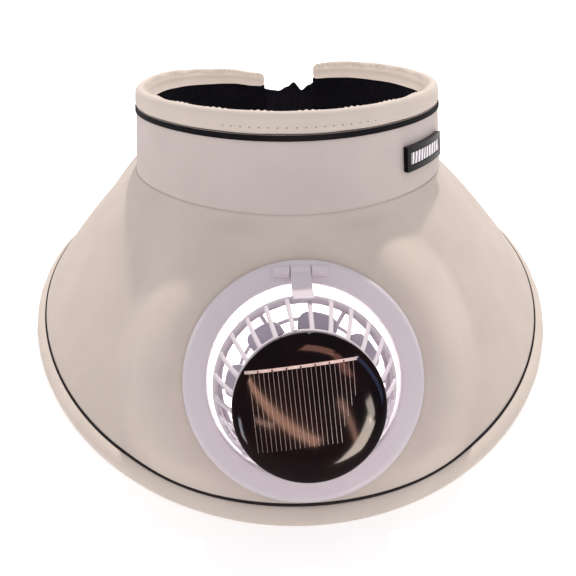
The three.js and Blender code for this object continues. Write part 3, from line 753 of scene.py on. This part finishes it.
# Strap from a tab on the ribs over the rim to the barrel, as (outward, height) points
strap = [
    (tab_r, tab_z), (inner, RIM_HIGH + 1), (inner, -2.2), (FAN_REACH - 1.6, barrel_z - 0.6),
    (FAN_REACH + 1.6, barrel_z + 1), (inner + 2, -1.6), (inner + 2, RIM_HIGH + 1.8),
    (tab_r + 1.9, tab_z + 0.8),
]
arm_parts = [
    cylinder_x(KNUCKLE_RADIUS, -ARM_WIDTH / 2, ARM_WIDTH / 2, FAN_REACH, barrel_z),
    slab(rounded(strap, 1), -ARM_WIDTH / 2, ARM_WIDTH / 2),
]
points, faces = group(arm_parts)
pieces = mesh("hinge_strap", place(points, fan_frame), faces, white_plastic, PLASTIC_EDGE)
stand_for(pieces, "fan_unit", "fan_arm")


def rib(angle):
    """One bar of the cage, round in section and thicker where it meets the rim and the seat."""
    nodes = [rib_point(*row) for row in RIB_PATH]
    path = []
    for i in range(len(nodes) - 1):
        before, a, b = nodes[max(i - 1, 0)], nodes[i], nodes[i + 1]
        after = nodes[min(i + 2, len(nodes) - 1)]
        for t in (0, 0.25, 0.5, 0.75):
            curve = []
            for p0, p1, p2, p3 in zip(before, a, b, after):
                m1, m2 = (p2 - p0) / 2, (p3 - p1) / 2
                h = t * t * (3 - 2 * t)
                value = mix(p1, p2, h) + m1 * (t ** 3 - 2 * t * t + t) + m2 * (t ** 3 - t * t)
                curve.append(value)
            path.append(tuple(curve))
    path.append(nodes[-1])
    rings = []
    for i, (r, z) in enumerate(path):
        before, after = path[max(i - 1, 0)], path[min(i + 1, len(path) - 1)]
        way = Vector((after[0] - before[0], after[1] - before[1])).normalized()
        ends = min(i, len(path) - 1 - i)
        size = RIB_HALF_WIDTH + RIB_FLARE * max(0, 1 - ends / RIB_FLARE_ROWS) ** 2
        ring = []
        for k in range(RIB_SIDES):
            a = 2 * math.pi * k / RIB_SIDES
            s, d = size * math.cos(a), RIB_HALF_DEPTH * math.sin(a)
            ring.append(Vector((s, r - way.y * d, z + way.x * d)))
        rings.append(ring)
    points, faces = loft(rings)
    return place(points, Matrix.Rotation(-math.radians(angle), 4, "Z")), faces


seat_low = SEAT_TOP - SEAT_THICKNESS
cage = [
    turned(rounded([
        (RIM_RADIUS - RIM_WALL, RIM_LOW), (RIM_RADIUS, RIM_LOW), (RIM_RADIUS, 0), (RIM_RADIUS, RIM_HIGH),
        (RIM_RADIUS - RIM_WALL, RIM_HIGH), (RIM_RADIUS - RIM_WALL, 0),
    ], 1), CAGE_SEGMENTS),
    turned([
        (0, seat_low), (SEAT_RADIUS - 0.5, seat_low), (SEAT_RADIUS, seat_low + 0.5),
        (SEAT_RADIUS, SEAT_TOP - 0.3), (SEAT_RADIUS - 0.3, SEAT_TOP), (0, SEAT_TOP),
    ], CAGE_SEGMENTS),
]
for i in range(RIB_COUNT):
    cage.append(rib(RIB_FIRST + 360 * i / RIB_COUNT))
points, faces = group(cage)
pieces = mesh("cage_ribs", place(points, fan_frame), faces, white_plastic, PLASTIC_EDGE)
stand_for(pieces, "fan_unit", "fan_cage")

# Two dark marks on the seat's edge beside the panel
MARK_ANGLES = (-20, -9)
MARK_LENGTH = 2.4
MARK_WIDTH = 1.6
marks = []
for angle in MARK_ANGLES:
    a = math.radians(angle)
    out = Vector((math.sin(a), math.cos(a), 0))
    at = out * (SEAT_RADIUS - 0.05) + Vector((0, 0, SEAT_TOP - 1))
    along = Vector((math.cos(a), -math.sin(a), 0))
    marks.append(stitch(at, along, out, MARK_LENGTH, MARK_WIDTH))
points, faces = group(marks)
pieces = mesh("seat_marks", place(points, fan_frame), faces, mark_black)
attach(pieces, "fan_unit")

# Solar panel: a disc with a rounded edge and a low dome; fingers and bars lie on the dome
PANEL_LOW = SEAT_TOP + GAP
PANEL_SIDE = 3.4
PANEL_SEGMENTS = 200
DOME = 3.3
DOME_POWER = 5
DOME_FALL = 0.16
# Radii of the dome's rings as shares of the panel's radius, closer where it curves down
DOME_RINGS = (
    0.9995, 0.998, 0.994, 0.987, 0.975, 0.96, 0.94, 0.91, 0.87, 0.82, 0.76, 0.68, 0.58, 0.45, 0.3, 0.15,
)


def dome(r):
    """Height of the resin's surface at a radius."""
    t = min(r / PANEL_RADIUS, 1)
    drop = math.sqrt(max(1 - t ** DOME_POWER, 0)) * (1 - DOME_FALL * t * t)
    return PANEL_LOW + PANEL_SIDE + DOME * drop


panel_outline = [
    (0, PANEL_LOW), (PANEL_RADIUS - 0.4, PANEL_LOW), (PANEL_RADIUS, PANEL_LOW + 0.4),
    (PANEL_RADIUS, dome(PANEL_RADIUS)),
]
for t in DOME_RINGS:
    panel_outline.append((PANEL_RADIUS * t, dome(PANEL_RADIUS * t)))
panel_outline.append((0, dome(0)))
points, faces = turned(panel_outline, PANEL_SEGMENTS)
pieces = mesh("panel_resin", place(points, fan_frame), faces, resin, ROUND_EDGE)
stand_for(pieces, "fan_unit", "solar_panel")


def strip(x0, y0, x1, y1, width, lift=0.04, pieces=14):
    """Thin strip on the dome between two points of the disc."""
    way = Vector((x1 - x0, y1 - y0)).normalized()
    side = Vector((-way.y, way.x)) * width / 2
    points, faces = [], []
    for i, t in enumerate(steps(0, 1, pieces)):
        x, y = mix(x0, x1, t), mix(y0, y1, t)
        for s in (-1, 1):
            px, py = x + s * side.x, y + s * side.y
            points.append(Vector((px, py, dome(math.hypot(px, py)) + lift)))
        if i:
            a = 2 * i - 2
            faces.append((a, a + 2, a + 3, a + 1))
    return points, faces


# Solar cell: thin fingers that hang from a bar, the last ones shorter
CELL_TURN = math.radians(5.8)
CELL_BAR = 17.2
CELL_END = -13.4
CELL_LEFT = -20.2
FINGERS = 23
FULL_FINGERS = 19
FINGER_PITCH = 1.73
FINGER_WIDTH = 0.17
FINGER_LEAN = 0.7
SHORT_START, SHORT_STEP = 0.2, 0.12
BAR_WIDTH = 1.15
BAR_GAP = 0.6
BAR_PAST_LEFT = 1.7
BAR_PAST_RIGHT = 0.3
LINK_WIDTH = 0.4
LINK_LENGTH = 0.65
LINK_UP = 0.35
BAR_LIFT = 0.06


def on_cell(x, y):
    """Point of the disc at a place in the turned cell."""
    c, s = math.cos(CELL_TURN), math.sin(CELL_TURN)
    return x * c - y * s, x * s + y * c


fingers = []
for i in range(FINGERS):
    x = CELL_LEFT + i * FINGER_PITCH
    end = CELL_END
    if i >= FULL_FINGERS:
        end = mix(CELL_END, CELL_BAR, SHORT_START + SHORT_STEP * (i - FULL_FINGERS))
    fingers.append(strip(*on_cell(x, CELL_BAR), *on_cell(x - FINGER_LEAN, end), FINGER_WIDTH))
points, faces = group(fingers)
lines = mesh("cell_fingers", place(points, fan_frame), faces, silver_line)
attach(lines, "fan_unit")

bars = []
BAR_SEGMENTS = 8
bar_start = CELL_LEFT - BAR_PAST_LEFT
bar_end = CELL_LEFT + FINGERS * FINGER_PITCH + BAR_PAST_RIGHT
for i in range(BAR_SEGMENTS):
    x0 = mix(bar_start, bar_end, i / BAR_SEGMENTS)
    x1 = mix(bar_start, bar_end, (i + 1) / BAR_SEGMENTS)
    bars.append(strip(*on_cell(x0, CELL_BAR), *on_cell(x1 - BAR_GAP, CELL_BAR), BAR_WIDTH, BAR_LIFT, 6))
    y = CELL_BAR + LINK_UP
    bars.append(strip(*on_cell(x1 - LINK_LENGTH, y), *on_cell(x1, y), LINK_WIDTH, BAR_LIFT, 2))
points, faces = group(bars)
bar = mesh("cell_bar", place(points, fan_frame), faces, silver_bar)
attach(bar, "fan_unit")

# Blades: petals on a hub; radius and width as shares of the tip's radius
BLADE_CLEARANCE = 3.2
BLADE_TIP = RIM_RADIUS - RIM_WALL - BLADE_CLEARANCE
BLADE = [
    (0.231, 0.21), (0.34, 0.27), (0.49, 0.36), (0.65, 0.44), (0.78, 0.5), (0.87, 0.505), (0.94, 0.45),
    (0.98, 0.36), (1, 0.22), (1.005, 0.1),
]
BLADE_SECTION = [(-1, -0.5), (0, -0.55), (1, -0.5), (1, 0.5), (0, 0.55), (-1, 0.5)]
BLADE_THICKNESS = 1.2
ROOT_PITCH, TIP_PITCH = 34, 17
HUB_EDGE = 0.8
HUB_SEGMENTS = 64


def petal(angle):
    """One blade, flatter towards its tip."""
    root = BLADE[0][0]
    rings = []
    for share, width in BLADE:
        pitch = math.radians(mix(ROOT_PITCH, TIP_PITCH, (share - root) / (1 - root)))
        ring = []
        for side, up in rounded(BLADE_SECTION, 1):
            x, z = side * width * BLADE_TIP / 2, up * BLADE_THICKNESS
            height = BLADE_HEIGHT + x * math.sin(pitch) + z * math.cos(pitch)
            ring.append(Vector((x * math.cos(pitch) - z * math.sin(pitch), share * BLADE_TIP, height)))
        rings.append(ring)
    points, faces = loft(rings)
    return place(points, Matrix.Rotation(-math.radians(angle), 4, "Z")), faces


hub = [
    (0, HUB_LOW), (HUB_RADIUS, HUB_LOW), (HUB_RADIUS, HUB_HIGH - HUB_EDGE),
    (HUB_RADIUS - HUB_EDGE, HUB_HIGH), (0, HUB_HIGH),
]
blades = [turned(hub, HUB_SEGMENTS)]
for i in range(BLADE_COUNT):
    blades.append(petal(BLADE_FIRST + 360 * i / BLADE_COUNT))
points, faces = group(blades)
pieces = mesh("petals", place(points, fan_frame), faces, blade_plastic, PLASTIC_EDGE)
stand_for(pieces, "blades", "fan_blades")

# Solids that keep their shape and take a better finish; the frame's edges are softened, in metres
BADGE_EDGE = 0.0005
for name, finish in (("badge_frame", badge_black), ("badge_plate", badge_silver),
                     ("clamp_ring", white_plastic), ("rear_guard", white_plastic), ("motor", motor_metal)):
    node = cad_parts[name]
    node.data.materials.clear()
    node.data.materials.append(finish)
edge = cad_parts["badge_frame"].modifiers.new("edge", "BEVEL")
edge.width = BADGE_EDGE
edge.segments = 3
edge.limit_method = "ANGLE"


# Floor, in metres; its weak glow keeps it white
FLOOR_SIZE = 8
FLOOR_GLOW = 0.3
bpy.ops.mesh.primitive_plane_add(size=FLOOR_SIZE, location=(0, 0, 0))
floor = bpy.context.object
floor.name = "floor"
paper = material("floor", linear(250, 250, 250), 0.9, specular=0.1)
paper_shader = paper.node_tree.nodes["Principled BSDF"]
paper_shader.inputs["Emission Color"].default_value = (1, 1, 1, 1)
paper_shader.inputs["Emission Strength"].default_value = FLOOR_GLOW
floor.data.materials.append(mottle(paper, linear(248, 248, 248), linear(251, 251, 251), 3))

# Light: an even room and lamps. The camera's place, in millimetres, also aims the reflections
CAMERA_AT = Vector((-15.2, -351.7, 259.8))
WORLD_STRENGTH = 0.8
WORLD_COLOUR = (1, 0.985, 0.99, 1)
GLOW_DISTANCE = 420
SLOPE_STEP = 0.2
NEAR_AXIS = 0.1

world = bpy.data.worlds.new("room")
bpy.context.scene.world = world
world.use_nodes = True
background = world.node_tree.nodes["Background"]
background.inputs["Color"].default_value = WORLD_COLOUR
background.inputs["Strength"].default_value = WORLD_STRENGTH


def lamp(name, at, target, size, power, colour=(1, 1, 1)):
    """Flat lamp that the camera doesn't see, in metres and watts."""
    data = bpy.data.lights.new(name, "AREA")
    data.shape = "RECTANGLE"
    data.size, data.size_y = size
    data.energy = power
    data.color = colour
    light = bpy.data.objects.new(name, data)
    light.location = at
    light.rotation_euler = (Vector(target) - Vector(at)).to_track_quat("-Z", "Y").to_euler()
    light.visible_camera = False
    bpy.context.scene.collection.objects.link(light)
    return light


def mirrored(x, y):
    """Place and direction in which the camera looks after it is mirrored at a point of the disc."""
    r = math.hypot(x, y)
    slope = (dome(r + SLOPE_STEP) - dome(r - SLOPE_STEP)) / (2 * SLOPE_STEP)
    normal = Vector((-slope * x / max(r, NEAR_AXIS), -slope * y / max(r, NEAR_AXIS), 1)).normalized()
    at = fan_frame @ Vector((x, y, dome(r)))
    normal = (fan_frame.to_3x3() @ normal).normalized()
    view = (at - CAMERA_AT).normalized()
    return at, view - 2 * view.dot(normal) * normal


def glow(name, start, end, width, colour, radiance):
    """Long lamp whose image in the disc runs from start to end; it lights only glossy surfaces."""
    ends = []
    for x, y in (start, end):
        at, way = mirrored(x, y)
        ends.append(at + way * GLOW_DISTANCE)
    across = Vector((end[0] - start[0], end[1] - start[1])).normalized()
    middle = ((start[0] + end[0]) / 2, (start[1] + end[1]) / 2)
    sides = []
    for s in (-0.5, 0.5):
        at, way = mirrored(middle[0] - s * width * across.y, middle[1] + s * width * across.x)
        sides.append(at + way * GLOW_DISTANCE)
    centre = (ends[0] + ends[1]) / 2
    long_way = (ends[1] - ends[0]).normalized()
    facing = (fan_frame @ Vector((middle[0], middle[1], 0)) - centre).normalized()
    facing = (facing - long_way * facing.dot(long_way)).normalized()
    length, wide = (ends[1] - ends[0]).length / 1000, (sides[1] - sides[0]).length / 1000
    light = lamp(name, (0, 0, 0), (0, 0, 1), (length, wide), radiance * math.pi * length * wide, colour)
    turned_to = Matrix((long_way, (-facing).cross(long_way), -facing)).transposed().to_4x4()
    light.matrix_world = Matrix.Translation((centre + SHIFT) / 1000) @ turned_to
    light.visible_diffuse = False


# Behind the visor and high above it, and a weak one inside the band that lights what is under the brim
lamp("key", at=(0.21, 1.5, 1.97), target=(0, -0.05, 0.05), size=(0.08, 0.08), power=40,
     colour=(1, 0.93, 0.87))
lamp("under_brim", at=(0, 0.02, 0.085), target=(0, -0.075, 0), size=(0.06, 0.05), power=0.22)

# Reflections: name, the ends and the width on the disc in millimetres, colour, radiance
STREAKS = [
    ("streak_long", (-22, 13), (3, -12.5), 4.2, (1, 0.52, 0.36), 65),
    ("streak_right", (21.5, 4), (23, -4), 2.2, (1, 0.87, 0.76), 70),
    ("streak_low_right", (22.8, -4), (12, -20.5), 4.5, (1, 0.84, 0.72), 95),
    ("streak_left", (-20.5, -2.5), (-13.5, -5), 1.6, (1, 0.6, 0.45), 45),
    ("streak_left_edge", (-26, -2), (-21, -17), 1.2, (0.9, 0.9, 1), 45),
    ("streak_top", (-2, 24), (9, 21.5), 2.2, (1, 0.45, 0.34), 30),
    ("streak_top_right", (9.5, 21.2), (14.5, 13), 2.2, (1, 0.42, 0.32), 26),
    ("streak_inner", (11, 4), (17, -12), 2, (1, 0.55, 0.42), 42),
    ("streak_blue", (17, 20), (27, 3), 2, (0.3, 0.5, 1), 10),
]
for streak in STREAKS:
    glow(*streak)

# Camera in the photograph's place; the focal length is in pixels of the photograph
PAN, DOWN, ROLL = math.radians(2.454), math.radians(38.533), math.radians(-0.345)
FOCAL_PIXELS = 700.8
FRAME_PIXELS = 576
SENSOR = 36
forward = Vector((math.sin(PAN) * math.cos(DOWN), math.cos(PAN) * math.cos(DOWN), -math.sin(DOWN)))
right = Vector((math.cos(PAN), -math.sin(PAN), 0))
up = right.cross(forward)
right_r = right * math.cos(ROLL) + up * math.sin(ROLL)
up_r = up * math.cos(ROLL) - right * math.sin(ROLL)
lens = bpy.data.cameras.new("camera")
lens.sensor_width = SENSOR
lens.lens = SENSOR * FOCAL_PIXELS / FRAME_PIXELS
lens.clip_start = 0.01
camera = bpy.data.objects.new("camera", lens)
turn = Matrix((right_r, up_r, -forward)).transposed().to_4x4()
camera.matrix_world = Matrix.Translation((CAMERA_AT + SHIFT) / 1000) @ turn
bpy.context.scene.collection.objects.link(camera)
bpy.context.scene.camera = camera
bpy.context.scene.view_settings.view_transform = "Standard"
